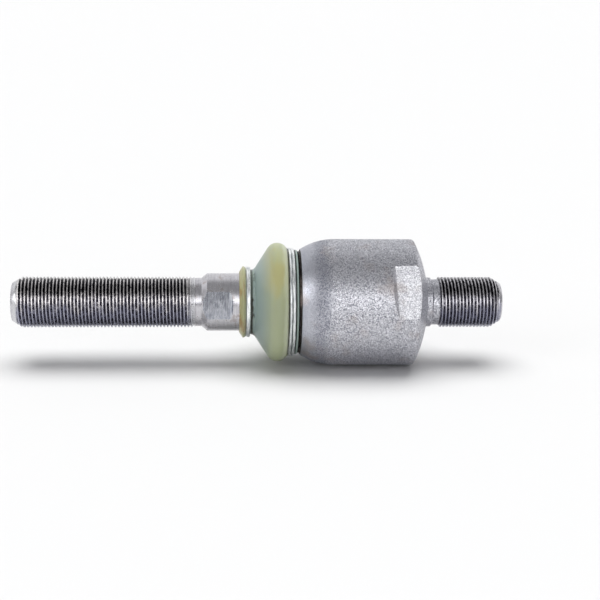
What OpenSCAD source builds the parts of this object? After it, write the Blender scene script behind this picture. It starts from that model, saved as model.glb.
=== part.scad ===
// Inner tie rod: an axial ball joint between a long threaded rod and a housing with a
// threaded stud. The ball head of the rod runs in two plastic seats, a spring washer
// holds them tight, and a rubber boot with two wire rings keeps the grease in.
// The origin is on the axis at the root of the stud's thread. +X runs out along the
// stud, the rod runs along -X, +Z is up. Millimetres and degrees.

/* [Threads] */
// Major diameter of both threads
thread_d = 22; // [20:0.5:23]
// Pitch of both threads
thread_pitch = 1.5; // [1:0.25:2]
// Length of the rod's thread
rod_thread_length = 78; // [50:1:120]
// Length of the stud's thread
stud_thread_length = 27; // [18:1:45]
// Diameter of the flat face at each threaded tip
tip_d = 16.6; // [12:0.2:18]
// Length of the cone at each threaded tip
tip_length = 4.3; // [2:0.1:6]
// Diameter of the centring cone in each tip
centre_d = 6; // [4:0.5:8]

/* [Rod] */
// Distance from the ball's centre to the end of the rod's thread
rod_reach = 61; // [60.5:0.5:100]
// Length of the plain stretch behind the rod's thread
rod_plain_length = 3.4; // [3:0.1:4.6]
// Length of the cone between the plain stretch and the land
land_cone_length = 2.4; // [1.5:0.1:2.6]
// Diameter of the land that the boot grips
land_d = 25; // [24:0.5:28]
// Width across the rod's two spanner flats
rod_flat_width = 22; // [20.5:0.25:23.5]
// Length of the flat part of the rod's spanner flats
rod_flat_length = 9; // [5:0.5:10]
// Radius of the cutter's run-out at the end of the rod's flats
rod_flat_runout = 2.2; // [1.6:0.1:2.6]
// Turn of the rod's flats about its axis, up from the -Y side
rod_flat_turn = 6.5; // [-45:0.5:45]
// Diameter of the neck behind the ball
neck_d = 16; // [14:0.5:16.5]
// Radius between the neck and the ball
neck_fillet = 1; // [0.4:0.1:1.2]
// Distance from the ball's centre to the end of the neck
neck_reach = 27.5; // [26:0.25:28]
// Radius between the neck and the land
land_fillet = 6; // [5:0.25:7]
// Edge break on the ball side of the land
land_chamfer = 0.8; // [0.4:0.1:1.2]

/* [Ball joint] */
// Diameter of the ball
ball_d = 35; // [33:0.5:36]
// Diameter of the flat on the back of the ball
ball_flat_d = 10; // [6:0.5:14]
// Swing of the rod each way about each of the two cross axes
swing = 18; // [12:0.5:19]
// Thickness of the plastic seats round the ball
seat_wall = 3.5; // [2.5:0.1:4]
// Thickness of the rear seat behind the ball
seat_floor = 2; // [1.5:0.1:3]
// Gap between the two seats at the ball's widest place
seat_split = 0.5; // [0.3:0.1:1.5]
// Number of expansion slots in each seat
seat_slots = 6; // [3:1:10]
// Width of an expansion slot
seat_slot_width = 2; // [1:0.25:3]
// Length of an expansion slot, from the seat's rim
seat_slot_length = 6; // [4:0.5:7]
// Diameter of the grease pocket in the rear seat
pocket_d = 12; // [8:0.5:16]
// Thickness of the pressure disc behind the rear seat
pressure_disc_thickness = 2; // [1.5:0.1:3]
// Sheet thickness of the spring washer
spring_thickness = 1.5; // [1:0.1:2]
// Cone height of the spring washer, without its sheet thickness
spring_rise = 1; // [0.5:0.1:1.5]
// Bore of the spring washer
spring_bore_d = 20; // [14:0.5:26]

/* [Housing] */
// Distance from the ball's centre to the root of the stud's thread
ball_to_root = 46; // [44:0.5:60]
// Diameter of the housing
housing_d = 55; // [54:0.5:62]
// Width across the housing's two spanner flats
housing_flat_width = 50; // [46:0.5:52.5]
// Length of the housing's spanner flats, from the foot of the dome
housing_flat_length = 15.2; // [10:0.2:20]
// Length of the sloped shoulder at the inner end of the housing's flats
housing_flat_slope = 1.6; // [0.8:0.1:2.4]
// Radius between that shoulder and the flat
housing_flat_corner = 0.6; // [0.2:0.1:1]
// Skew of that shoulder, in the plane of the flat
housing_flat_skew = 4; // [-8:0.5:8]
// Turn of the housing's flats about its axis, up from the -Y side
housing_flat_turn = 24; // [-45:0.5:45]
// Radius of the housing's domed end
dome_radius = 60; // [45:1:90]
// Edge radius between the housing's wall and its domed end
dome_edge_radius = 1.5; // [0.8:0.1:3]
// Distance from the ball's centre to the collar's mouth
mouth_reach = 21; // [20.75:0.25:22]
// Distance from the ball's centre to the edge behind the collar
shoulder_reach = 15; // [14:0.25:15.5]
// Depth that the face behind the collar falls back towards the axis
shoulder_undercut = 1; // [0.2:0.1:1.4]
// Wall of the collar at its mouth
collar_wall = 1.25; // [1:0.05:1.8]
// Depth of the groove round the collar
collar_groove_depth = 0.9; // [0.5:0.1:1.1]

/* [Stud root] */
// Length of the round shoulder at the stud's root
stud_shoulder_length = 1.9; // [1.5:0.1:5]
// Length of the relief groove between the shoulder and the thread
relief_length = 4.2; // [3:0.1:6]
// Corner radius of the relief groove
relief_corner = 0.8; // [0.3:0.1:1]

/* [Dust boot] */
// Height of the boot's bulge over the collar
boot_bulge_height = 5.45; // [4:0.1:7]
// Distance from the ball's centre to the top of the boot's bulge
boot_bulge_reach = 24.85; // [24.4:0.05:25.4]
// Outer radius of the boot's bulge, seen in section
boot_bulge_radius = 4.9; // [4.4:0.1:5.2]
// Outer radius at the foot of the boot's flank, seen in section
boot_foot_radius = 2.5; // [1.5:0.1:3]
// Thickness of the boot's wall
boot_wall = 1.6; // [1.2:0.1:2.2]
// Thickness of the boot's large end under its clamp ring
boot_mouth_wall = 1.45; // [1:0.05:2]
// Thickness of the boot's small end under its clamp ring
boot_neck_wall = 1.15; // [0.9:0.05:1.4]
// Gap between the boot's large end and the edge behind the collar
boot_mouth_gap = 1.3; // [0.2:0.1:1.6]
// Height of the lip beside the large clamp ring
boot_mouth_lip = 0.75; // [0.4:0.05:0.9]
// Height of the lip beside the small clamp ring
boot_neck_lip = 1.75; // [1.2:0.05:2.2]
// Length of the lip beside the small clamp ring
boot_neck_lip_length = 2.75; // [2:0.05:3]
// Depth of the grip grooves in the rod's land and the boot's beads in them
boot_bead_height = 0.8; // [0.4:0.1:1]
// Width of the boot's beads
boot_bead_width = 1.6; // [1:0.1:2]

/* [Clamp rings] */
// Wire diameter of the large clamp ring
wire_d = 1.25; // [1:0.05:1.4]
// Gap between the two turns of the large clamp ring at the bottom
turn_gap = 0.15; // [0.05:0.05:0.3]
// Distance from the ball's centre to the large clamp ring
large_ring_reach = 19.05; // [18.8:0.05:19.3]
// Distance from the ball's centre to the small clamp ring
small_ring_reach = 37.5; // [36.5:0.1:40]
// Width of the small clamp ring
small_ring_width = 1.8; // [1.4:0.1:2.2]
// Radial thickness of the small clamp ring
small_ring_thickness = 1.25; // [0.8:0.05:1.6]

/* [Fits] */
// Radial clearance between the ball and its seats
ball_clearance = 0.05; // [0.02:0.01:0.1]
// Clearance between the seats and the housing's bore
seat_clearance = 0.02; // [0.01:0.01:0.05]
// Clearance between the neck and the mouth at full swing
neck_clearance = 0.35; // [0.3:0.05:0.8]
// Clearance between the boot and the metal that it grips
boot_clearance = 0.25; // [0.15:0.05:0.3]
// Clearance between a clamp ring and its groove in the boot
ring_clearance = 0.2; // [0.1:0.05:0.3]

/* [Hidden] */

// Fineness of round surfaces and of arcs in an outline
round_facets = 96;
arc_steps = 10;
// Size of a cutting shape that runs past everything
beyond = 400;

// Threads: the blank before rolling is the pitch diameter
thread_r = thread_d / 2;
blank_r = (thread_d - 0.65 * thread_pitch) / 2;
relief_r = (thread_d - 1.45 * thread_pitch) / 2;
stud_shoulder_r = (thread_d - thread_pitch / 3) / 2;
// The centring cones take a 60 degree centre
centre_depth = centre_d / 2 / tan(30);
// Slope of the relief groove where it rises to the thread
relief_slope = 60;

// Places along the axis
ball_x = -ball_to_root;
rod_thread_end = ball_x - rod_reach;
rod_tip = rod_thread_end - rod_thread_length;
land_start = rod_thread_end + rod_plain_length + land_cone_length;
dome_foot = -(stud_shoulder_length + relief_length);

// Ball, neck and the cone that the neck sweeps at full swing about both axes
ball_r = ball_d / 2;
neck_r = neck_d / 2;
land_r = land_d / 2;
cone_angle = acos(cos(swing) * cos(swing));
function sweep_r(reach) = reach * tan(cone_angle) + (neck_r + neck_clearance) / cos(cone_angle);

// Neck fillet: its centre is one fillet off the neck, and as far off the ball less a hair
fillet_bite = neck_fillet / 50;
neck_fillet_reach = sqrt((ball_r + neck_fillet - fillet_bite) ^ 2 - (neck_r + neck_fillet) ^ 2);
neck_fillet_angle = atan2(neck_r + neck_fillet, neck_fillet_reach);
// The seats open where the fillet's rim stands at full swing
seat_mouth_r = ball_r * sin(neck_fillet_angle + cone_angle) + neck_clearance / 2;
seat_mouth_reach = (seat_mouth_r - sweep_r(0)) / tan(cone_angle);

// Cavity of the housing
seat_r = ball_r + seat_wall;
cavity_depth = ball_r + ball_clearance + seat_floor + pressure_disc_thickness
             + spring_rise + spring_thickness;
cavity_end = ball_x + cavity_depth;
disc_start = ball_x + ball_r + ball_clearance + seat_floor;
spring_start = disc_start + pressure_disc_thickness;

// Outside of the housing
housing_r = housing_d / 2;
collar_r = sweep_r(mouth_reach) + collar_wall;
collar_groove_r = collar_r - collar_groove_depth;
shoulder_r = sqrt(housing_r ^ 2 - shoulder_reach ^ 2);
housing_flat_start = dome_foot - housing_flat_length;
dome_centre = dome_foot - sqrt(dome_radius ^ 2 - stud_shoulder_r ^ 2);
edge_centre = dome_centre + sqrt((dome_radius - dome_edge_radius) ^ 2
                                 - (housing_r - dome_edge_radius) ^ 2);
edge_angle = atan2(housing_r - dome_edge_radius, edge_centre - dome_centre);

// Boot: seats on the collar and on the land, grooves for the two rings
boot_mouth_bore = collar_r + boot_clearance;
boot_neck_bore = land_r + boot_clearance;
large_groove_r = boot_mouth_bore + boot_mouth_wall;
small_groove_r = boot_neck_bore + boot_neck_wall;
large_groove_half = wire_d + turn_gap / 2 + ring_clearance;
small_groove_half = small_ring_width / 2 + ring_clearance;
large_ring_x = ball_x - large_ring_reach;
small_ring_x = ball_x - small_ring_reach;
boot_mouth_end = ball_x - shoulder_reach - boot_mouth_gap;
boot_mouth_start = ball_x - mouth_reach - boot_clearance;
boot_tip = small_ring_x - small_groove_half - boot_neck_lip_length;

// Boot's bulge and foot: two circles, and the flank is the line that touches both
bulge_x = ball_x - boot_bulge_reach;
bulge_r = collar_r + boot_bulge_height - boot_bulge_radius;
foot_x = small_ring_x + small_groove_half;
foot_r = small_groove_r + ring_clearance + boot_foot_radius;
flank_angle = atan2(bulge_r - foot_r, bulge_x - foot_x)
            + asin((boot_bulge_radius + boot_foot_radius) / norm([bulge_x - foot_x, bulge_r - foot_r]));
foot_inner_radius = boot_foot_radius + boot_wall;
foot_inner_start = acos((foot_r - boot_neck_bore) / foot_inner_radius);
// Angle at which the bulge's arc ends over the side of the large ring's groove
bulge_end = acos((large_ring_x - large_groove_half - bulge_x) / boot_bulge_radius);
// Place of the small lip's crest, as a share of its length
lip_crest = 0.58;

// Clamp rings
wire_r = wire_d / 2;
large_ring_r = large_groove_r + ring_clearance + wire_r;
small_ring_r = small_groove_r + ring_clearance;
wire_sides = 10;
wire_steps = 96;
// The wire starts and ends beside the place where it crosses from one turn to the next
wire_start = 0.1;
wire_end = 1.9;
wire_cross = 0.08;
wire_top = 75;

// Points of an arc about a centre, from one angle to another
function arc(centre, radius, from, to, steps = arc_steps) =
    [for (i = [0:steps])
        let (angle = from + (to - from) * i / steps)
        centre + radius * [cos(angle), sin(angle)]];

// Turns an outline drawn with its length along X and its radius along Y about the X axis
module turned() {
    rotate([0, 90, 0])
        rotate_extrude($fn = round_facets)
            mirror([1, -1, 0])
                intersection() {
                    children();
                    translate([-beyond, 0])
                        square([2 * beyond, beyond]);
                }
}

// A circle on the axis, about the ball's centre
module ball_circle(radius) {
    translate([ball_x, 0])
        circle(r = radius, $fn = round_facets);
}

// The half of the outline's plane on the rod's side of a place along the axis
module rod_side_of(x) {
    translate([x - beyond, -beyond])
        square([beyond, 2 * beyond]);
}

// A pair of the same cutter on the two sides of the axis, from an outline of length and
// depth. The first one stands on the -Y side before the turn, and its lower end is skewed
// towards +X.
module flat_pair(turn, skew = 0, skew_x = 0) {
    rotate([-turn, 0, 0])
        for (side = [0, 180])
            rotate([side, 0, 0])
                translate([skew_x, 0, 0])
                    rotate([0, -skew, 0])
                        translate([-skew_x, 0, -beyond / 2])
                            linear_extrude(beyond)
                                children();
}

// Slots through a seat's wall, from its rim over a length towards one side
module seat_slots_cut(direction) {
    for (i = [0:seat_slots - 1])
        rotate([360 / seat_slots * (i + 0.5), 0, 0])
            translate([ball_x + (direction > 0 ? -seat_split : -seat_slot_length),
                       0, -seat_slot_width / 2])
                cube([seat_slot_length + seat_split, beyond, seat_slot_width]);
}

module housing_outline() {
    polygon(concat(
        [[ball_x - mouth_reach, 0],
         [ball_x - mouth_reach, collar_r - boot_clearance],
         [ball_x - mouth_reach + boot_clearance, collar_r],
         [ball_x - shoulder_reach + shoulder_undercut, collar_r]],
        arc([ball_x, 0], housing_r, 180 - asin(shoulder_r / housing_r), 90, 3 * arc_steps),
        arc([edge_centre, housing_r - dome_edge_radius], dome_edge_radius, 90, edge_angle),
        arc([dome_centre, 0], dome_radius, edge_angle, asin(stud_shoulder_r / dome_radius)),
        [[-relief_length, stud_shoulder_r]],
        arc([-relief_length + relief_corner, relief_r + relief_corner], relief_corner, 180, 270, 5),
        arc([-relief_corner, relief_r + relief_corner], relief_corner, 270, 270 + relief_slope, 5),
        [[0, thread_r],
         [stud_thread_length - tip_length, thread_r],
         [stud_thread_length, tip_d / 2],
         [stud_thread_length, centre_d / 2],
         [stud_thread_length - centre_depth, 0]]));
}

module housing_cavity() {
    // Bore for the rear seat, the disc and the spring
    translate([ball_x, 0])
        square([cavity_depth, seat_r]);
    // Round wall formed over the front seat
    intersection() {
        ball_circle(seat_r);
        rod_side_of(ball_x + seat_wall);
    }
    swept_mouth();
}

// The opening that the neck needs at full swing
module swept_mouth() {
    reach = max(mouth_reach, seat_r) + seat_split;
    polygon([[ball_x, 0],
             [ball_x, seat_mouth_r],
             [ball_x - seat_mouth_reach, seat_mouth_r],
             [ball_x - reach, sweep_r(reach)],
             [ball_x - reach, 0]]);
}

module housing() {
    color("silver")
        difference() {
            turned()
                difference() {
                    housing_outline();
                    housing_cavity();
                    translate([large_ring_x - boot_bead_width / 2 - ring_clearance, collar_groove_r])
                        square([boot_bead_width + 2 * ring_clearance, 2 * collar_groove_depth]);
                }
            housing_flats();
        }
}

// The housing's flats end in a sloped shoulder, with a small radius at its foot
module housing_flats() {
    depth = -housing_flat_width / 2;
    slope_angle = atan2(housing_r + depth, housing_flat_slope);
    flat_pair(housing_flat_turn, housing_flat_skew, housing_flat_start)
        polygon(concat(
            [[beyond, depth - beyond],
             [beyond, depth]],
            arc([housing_flat_start + housing_flat_corner * tan(slope_angle / 2),
                 depth - housing_flat_corner], housing_flat_corner, 90, 90 + slope_angle, 6),
            [[housing_flat_start - beyond * cos(slope_angle), depth - beyond * sin(slope_angle)],
             [housing_flat_start, depth - beyond]]));
}

module ball_stud() {
    color("lightgray") {
        turned()
            difference() {
                ball_circle(ball_r);
                translate([ball_x + sqrt(ball_r ^ 2 - (ball_flat_d / 2) ^ 2), -beyond / 2])
                    square(beyond);
            }
        difference() {
            turned()
                difference() {
                    rod_outline();
                    translate([small_ring_x - boot_bead_width / 2 - ring_clearance,
                               land_r - boot_bead_height])
                        square([boot_bead_width + 2 * ring_clearance, 2 * boot_bead_height]);
                }
            rod_flats();
        }
    }
}

module rod_outline() {
    polygon(concat(
        [[rod_tip + centre_depth, 0],
         [rod_tip, centre_d / 2],
         [rod_tip, tip_d / 2],
         [rod_tip + tip_length, thread_r],
         [rod_thread_end, thread_r],
         [rod_thread_end + thread_pitch / 2, blank_r],
         [rod_thread_end + rod_plain_length, blank_r],
         [land_start, land_r],
         [ball_x - neck_reach - land_fillet - land_chamfer, land_r]],
        arc([ball_x - neck_reach, neck_r + land_fillet], land_fillet,
            180 + asin((neck_r + land_fillet - land_r + land_chamfer) / land_fillet), 270),
        arc([ball_x - neck_fillet_reach, neck_r + neck_fillet], neck_fillet,
            270, 360 - neck_fillet_angle, 6),
        [[ball_x, 0]]));
}

// The rod's flats start at the land's cone and run out with the radius of the cutter
module rod_flats() {
    depth = -rod_flat_width / 2;
    flat_pair(rod_flat_turn) {
        translate([land_start - land_cone_length, depth - beyond])
            square([land_cone_length + rod_flat_length, beyond]);
        translate([land_start - land_cone_length, depth - rod_flat_runout - beyond])
            square([land_cone_length + rod_flat_length + rod_flat_runout, beyond]);
        translate([land_start + rod_flat_length, depth - rod_flat_runout])
            circle(r = rod_flat_runout, $fn = round_facets);
    }
}

module front_seat() {
    color("white")
        difference() {
            turned()
                difference() {
                    intersection() {
                        ball_circle(seat_r - seat_clearance);
                        rod_side_of(ball_x - seat_split / 2);
                    }
                    ball_circle(ball_r + ball_clearance);
                    swept_mouth();
                }
            seat_slots_cut(-1);
        }
}

module rear_seat() {
    color("white")
        difference() {
            turned()
                difference() {
                    translate([ball_x + seat_split / 2, 0])
                        square([disc_start - ball_x - seat_split / 2, seat_r - seat_clearance]);
                    ball_circle(ball_r + ball_clearance);
                    translate([ball_x, -pocket_d / 2])
                        square([beyond, pocket_d]);
                }
            seat_slots_cut(1);
        }
}

module pressure_disc() {
    color("dimgray")
        turned()
            translate([disc_start, 0])
                square([pressure_disc_thickness, seat_r - seat_clearance]);
}

// A cone of sheet steel: its bore edge meets the pressure disc, its rim the cavity's floor
module disc_spring() {
    spring_r = seat_r - seat_clearance - spring_rise;
    color("darkgray")
        turned()
            translate([spring_start, 0])
                polygon([[0, spring_bore_d / 2],
                         [spring_thickness, spring_bore_d / 2],
                         [spring_thickness + spring_rise, spring_r],
                         [spring_rise, spring_r]]);
}

module boot_outline() {
    bead_half = boot_bead_width / 2;
    polygon(concat(
        // Small lip, the groove for the small ring and the foot of the flank
        [[boot_tip, boot_neck_bore],
         [boot_tip, boot_neck_bore + boot_clearance],
         [boot_tip + boot_neck_lip_length * lip_crest, small_groove_r + boot_neck_lip],
         [small_ring_x - small_groove_half, small_groove_r + boot_neck_lip - 2 * ring_clearance],
         [small_ring_x - small_groove_half, small_groove_r],
         [foot_x, small_groove_r]],
        arc([foot_x, foot_r], boot_foot_radius, 270, 270 + flank_angle, 6),
        // Bulge, down to the groove for the large ring
        arc([bulge_x, bulge_r], boot_bulge_radius, 90 + flank_angle, bulge_end, 2 * arc_steps),
        [[large_ring_x - large_groove_half, large_groove_r],
         [large_ring_x + large_groove_half, large_groove_r],
         [large_ring_x + large_groove_half, large_groove_r + boot_mouth_lip],
         [boot_mouth_end - boot_mouth_lip / 2, large_groove_r + boot_mouth_lip],
         [boot_mouth_end, large_groove_r],
         [boot_mouth_end, boot_mouth_bore],
         // Bead in the collar's groove
         [large_ring_x + bead_half, boot_mouth_bore],
         [large_ring_x + bead_half, collar_groove_r + boot_clearance],
         [large_ring_x - bead_half, collar_groove_r + boot_clearance],
         [large_ring_x - bead_half, boot_mouth_bore],
         [boot_mouth_start, boot_mouth_bore]],
        // Inside of the bulge and of the flank
        arc([bulge_x, bulge_r], boot_bulge_radius - boot_wall, 0, 90 + flank_angle, 2 * arc_steps),
        arc([foot_x, foot_r], foot_inner_radius, 270 + flank_angle, 270 + foot_inner_start, 6),
        // Bead in the land's groove
        [[small_ring_x + bead_half, boot_neck_bore],
         [small_ring_x + bead_half, boot_neck_bore - boot_bead_height],
         [small_ring_x - bead_half, boot_neck_bore - boot_bead_height],
         [small_ring_x - bead_half, boot_neck_bore]]));
}

module dust_boot() {
    color("darkseagreen")
        turned()
            boot_outline();
}

module small_clamp_ring() {
    edge = small_ring_thickness / 4;
    color("gainsboro")
        turned()
            translate([small_ring_x - small_ring_width / 2, small_ring_r])
                polygon([[edge, 0],
                         [small_ring_width - edge, 0],
                         [small_ring_width, edge],
                         [small_ring_width, small_ring_thickness - edge],
                         [small_ring_width - edge, small_ring_thickness],
                         [edge, small_ring_thickness],
                         [0, small_ring_thickness - edge],
                         [0, edge]]);
}

// Lane of the wire: its first turn lies on the rod's side, its second on the stud's side
function ease(t) = let (u = max(0, min(1, t))) u * u * (3 - 2 * u);
function wire_angle(turn) = wire_top + 360 * turn;
function wire_lane(turn) =
    (wire_d + turn_gap * (2 - sin(wire_angle(turn))) / 3) / 2
    * (2 * ease((turn - 1 + wire_cross) / (2 * wire_cross)) - 1);

// One ring of points round the wire, in the plane through the axis
function wire_ring(turn) =
    [for (i = [0:wire_sides - 1])
        let (bend = 360 * i / wire_sides, r = large_ring_r + wire_r * sin(bend))
        [large_ring_x + wire_lane(turn) + wire_r * cos(bend),
         r * cos(wire_angle(turn)),
         r * sin(wire_angle(turn))]];

module large_clamp_ring() {
    points = [for (k = [0:wire_steps])
                 each wire_ring(wire_start + (wire_end - wire_start) * k / wire_steps)];
    sides = [for (k = [0:wire_steps - 1], i = [0:wire_sides - 1])
                let (a = k * wire_sides, j = (i + 1) % wire_sides)
                [a + i, a + wire_sides + i, a + wire_sides + j, a + j]];
    first = [for (i = [0:wire_sides - 1]) i];
    last = [for (i = [0:wire_sides - 1]) (wire_steps + 1) * wire_sides - 1 - i];
    color("gainsboro")
        polyhedron(points, concat([first], sides, [last]));
}

housing();
ball_stud();
front_seat();
rear_seat();
pressure_disc();
disc_spring();
dust_boot();
small_clamp_ring();
large_clamp_ring();
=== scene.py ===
"""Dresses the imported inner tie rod: true threads, flats, boot, rings and every surface's finish.

Lengths are millimetres until a mesh is written, which is in metres. X runs along the axis and is
zero at the root of the stud's thread. Angles round the axis are degrees, from +Y towards +Z, so
that the photo's camera stands at 165 degrees.
"""

import logging
import math
from dataclasses import dataclass, field
from enum import Enum
from typing import Any, Callable

import bpy
import numpy as np
from mathutils import Matrix, Vector

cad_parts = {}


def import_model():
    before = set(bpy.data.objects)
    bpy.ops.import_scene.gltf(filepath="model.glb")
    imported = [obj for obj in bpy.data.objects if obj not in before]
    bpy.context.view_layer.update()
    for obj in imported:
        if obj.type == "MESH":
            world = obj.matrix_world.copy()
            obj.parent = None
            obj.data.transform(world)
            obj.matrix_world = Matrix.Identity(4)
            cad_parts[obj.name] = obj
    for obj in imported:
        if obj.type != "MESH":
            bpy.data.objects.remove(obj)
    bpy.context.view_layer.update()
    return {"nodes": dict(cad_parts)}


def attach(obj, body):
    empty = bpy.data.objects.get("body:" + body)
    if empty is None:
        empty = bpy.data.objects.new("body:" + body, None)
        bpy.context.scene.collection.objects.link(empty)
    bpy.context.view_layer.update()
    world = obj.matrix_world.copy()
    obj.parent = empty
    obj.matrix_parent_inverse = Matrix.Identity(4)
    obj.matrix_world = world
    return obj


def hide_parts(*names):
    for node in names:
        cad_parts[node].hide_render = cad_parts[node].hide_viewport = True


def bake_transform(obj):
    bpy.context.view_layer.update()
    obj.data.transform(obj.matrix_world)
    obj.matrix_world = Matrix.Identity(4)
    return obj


LOG = logging.getLogger("inner_tie_rod")
MM = 0.001
REST = "rest"  # attribute with the place of each point before its piece bends
WELDS_PER_MM = 1e4  # points that round to the same place at this fineness are one
NEARLY_NOTHING = 1e-6
NO_FLAT = 99.0  # height of a flat where the round has none

Pair = tuple[float, float]
Triple = tuple[float, float, float]


class Body(Enum):
    """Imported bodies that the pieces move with."""

    HOUSING = "housing"
    BOOT = "boot"
    BOOT_NECK = "boot_neck"
    ROD = "rod"


class Slot(Enum):
    """Names of material slots."""

    HOUSING_STEEL = "housing_steel"
    ROD_STEEL = "rod_steel"
    BOOT_RUBBER = "boot_rubber"
    RING_WIRE = "ring_wire"


class Marks(Enum):
    """Direction of fine marks on steel, as stretch factors of the pattern along X, Y and Z."""

    AROUND = (1.0, 0.02, 0.02)
    CROSSED = (1.0, 0.12, 0.12)
    NONE = (1.0, 1.0, 1.0)


def tone(red: float, green: float, shaded_blue: float) -> Triple:
    """Turn a colour of 0 to 255 as a screen shows it into linear light.

    Args:
        red: Red share, 0 to 255.
        green: Green share, 0 to 255.
        shaded_blue: Blue share, 0 to 255.

    Returns:
        The three shares as linear light.
    """
    shares = np.array([red, green, shaded_blue]) / 255.0
    linear = np.where(shares <= 0.04045, shares / 12.92, ((shares + 0.055) / 1.055) ** 2.4)
    return tuple(float(share) for share in linear)


def smooth(values: np.ndarray, low: float, high: float) -> np.ndarray:
    """Ease from 0 at low to 1 at high: with t the clipped share of the way, 3 t^2 - 2 t^3."""
    t = np.clip((values - low) / (high - low), 0.0, 1.0)
    return t * t * (3.0 - 2.0 * t)


def arc(centre: Pair, radius: float, start: float, end: float, steps: int) -> np.ndarray:
    """Points of an outline on an arc: centre plus radius times (cos a, sin a).

    Args:
        centre: Place along the axis and distance from it.
        radius: Radius of the arc.
        start: First angle in degrees.
        end: Last angle in degrees.
        steps: Number of steps from one to the other.

    Returns:
        An array of steps + 1 rows of length and radius.
    """
    angles = np.radians(np.linspace(start, end, steps + 1))
    return np.column_stack([centre[0] + radius * np.cos(angles),
                            centre[1] + radius * np.sin(angles)])


def on_arc(centre: Pair, radius: float, angle: float) -> Pair:
    """The point of an arc at an angle in degrees."""
    return tuple(arc(centre, radius, angle, angle, 1)[0])


def line(start: Pair, end: Pair, steps: int = 1) -> np.ndarray:
    """Points of an outline on a straight line: start plus t times the way to end."""
    t = np.linspace(0.0, 1.0, steps + 1)[:, None]
    return np.array(start) * (1.0 - t) + np.array(end) * t


def rounded(corners: list[Pair], radius: float, steps: int = 4) -> np.ndarray:
    """An outline through corners, with each inner corner turned into an arc of the radius.

    The arc leaves each side at radius * tan(turn / 2) from the corner, or at 45 hundredths of
    the shorter side where that is less.

    Args:
        corners: Corners as length and radius.
        radius: Radius at each corner but the first and the last.
        steps: Steps of each arc.

    Returns:
        The outline's points.
    """
    points = [np.array([corners[0]], float)]
    for before, here, after in zip(corners, corners[1:], corners[2:]):
        into, out = np.subtract(here, before), np.subtract(after, here)
        sides = np.hypot(*into), np.hypot(*out)
        into, out = into / sides[0], out / sides[1]
        turn = math.atan2(into[0] * out[1] - into[1] * out[0], float(into @ out))
        if abs(turn) < NEARLY_NOTHING:
            points.append(np.array([here], float))
            continue
        reach = min(radius * math.tan(abs(turn) / 2.0), 0.45 * min(sides))
        bend = reach / math.tan(abs(turn) / 2.0)
        side = np.array([-into[1], into[0]]) * math.copysign(1.0, turn)
        middle = np.array(here) - into * reach + side * bend
        first = math.degrees(math.atan2(-side[1], -side[0]))
        points.append(arc(tuple(middle), bend, first, first + math.degrees(turn), steps))
    points.append(np.array([corners[-1]], float))
    return np.concatenate(points)


def joined(*parts: np.ndarray) -> np.ndarray:
    """Set outlines end to end, and leave out each point that repeats the one before it.

    Args:
        parts: Outlines in order.

    Returns:
        One outline.
    """
    points = np.concatenate(parts)
    steps = np.hypot(*np.diff(points, axis=0).T)
    return points[np.concatenate([[True], steps > NEARLY_NOTHING])]


@dataclass
class Skin:
    """Surfaces on grids that are gathered, welded where they meet, and written as one mesh."""

    name: str
    points: list[np.ndarray] = field(default_factory=list)
    faces: list[np.ndarray] = field(default_factory=list)
    looks: list[np.ndarray] = field(default_factory=list)

    def add(self, grid: np.ndarray, look: int | np.ndarray = 0, wrap: int = 0) -> None:
        """Add a surface whose rows run along the part and whose columns close round it.

        Args:
            grid: Points in millimetres, rows by columns by three. Rows that go towards +X with
                columns from +Y towards +Z face outwards.
            look: Number of the material, one for all or one for each face.
            wrap: Rows that the last column lies behind the first, on a thread.
        """
        rows, columns = grid.shape[:2]
        row, column = np.meshgrid(np.arange(rows - 1), np.arange(columns), indexing="ij")
        beside = (column + 1) % columns
        shift = np.where(column == columns - 1, wrap, 0)
        last = rows - 1
        quads = np.stack([row * columns + column,
                          np.minimum(row + shift, last) * columns + beside,
                          np.minimum(row + shift + 1, last) * columns + beside,
                          (row + 1) * columns + column], axis=-1).reshape(-1, 4)
        offset = sum(len(p) for p in self.points)
        self.points.append(grid.reshape(-1, 3))
        self.faces.append(quads + offset)
        self.looks.append(np.broadcast_to(look, (rows - 1, columns)).reshape(-1).astype(int))

    def piece(self, materials: list[bpy.types.Material], sharp: float = 24.0) -> bpy.types.Object:
        """Weld points that share a place, drop faces without area, and make the object.

        Args:
            materials: Materials in the order of the looks.
            sharp: Angle in degrees above which an edge is shown sharp.

        Returns:
            The new object, at the origin, with its place in its mesh.
        """
        places = np.concatenate(self.points)
        _, first, index = np.unique(np.round(places * WELDS_PER_MM).astype(np.int64), axis=0,
                                    return_index=True, return_inverse=True)
        quads = index.reshape(-1)[np.concatenate(self.faces)]
        looks = np.concatenate(self.looks)
        doubled = quads == np.roll(quads, -1, axis=1)
        count = doubled.sum(axis=1)
        folded = (quads[:, 0] == quads[:, 2]) | (quads[:, 1] == quads[:, 3])
        whole = (count == 0) & ~folded
        partly = (count == 1) & ~folded
        keep = ~doubled[partly]
        threes = quads[partly][keep].reshape(-1, 3)
        used, renumbered = np.unique(np.concatenate([quads[whole].reshape(-1),
                                                     threes.reshape(-1)]), return_inverse=True)
        split = 4 * int(whole.sum())
        faces = (renumbered[:split].reshape(-1, 4).tolist()
                 + renumbered[split:].reshape(-1, 3).tolist())
        mesh = bpy.data.meshes.new(self.name)
        mesh.from_pydata((places[first][used] * MM).tolist(), [], faces)
        mesh.polygons.foreach_set("material_index", np.concatenate([looks[whole], looks[partly]]))
        mesh.polygons.foreach_set("use_smooth", np.ones(len(faces), bool))
        mesh.update()
        mesh.set_sharp_from_angle(angle=math.radians(sharp))
        for material in materials:
            mesh.materials.append(material)
        piece = bpy.data.objects.new(self.name, mesh)
        bpy.context.scene.collection.objects.link(piece)
        return piece


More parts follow.
